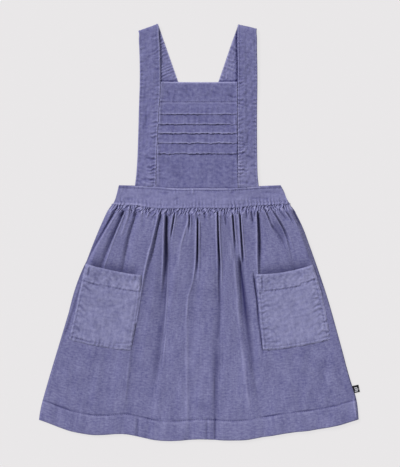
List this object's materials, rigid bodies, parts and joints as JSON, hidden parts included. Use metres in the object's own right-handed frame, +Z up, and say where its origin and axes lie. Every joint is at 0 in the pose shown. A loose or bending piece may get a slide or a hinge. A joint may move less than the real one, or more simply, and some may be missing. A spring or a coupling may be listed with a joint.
{
  "type": "pinafore dress",
  "caption": "Girl's needlecord pinafore dress laid flat, with a tucked bib, crossed straps, a gathered skirt and patch pockets.",
  "frame": {"origin": "on the surface that the dress lies on, under the middle of its box", "axes": "+X across the dress to the wearer's left as seen from the front, +Y from the hem to the shoulders, +Z up from the surface to the dress's front"},
  "size_m": [0.4818, 0.6238, 0.0175],
  "materials": {
    "cord": "fine cotton needlecord, brushed nap, slightly rumpled",
    "pocket_cord": "the same needlecord, catching more light",
    "label": "dense woven ribbon, folded"
  },
  "bodies": {
    "root": {"skirt_front": "cord", "skirt_back": "cord", "waistband_front": "cord", "waistband_back": "cord", "bib": "cord", "strap_left": "cord", "strap_right": "cord", "pocket_left": "pocket_cord", "pocket_right": "pocket_cord", "side_label": "label"}
  },
  "joints": []
}
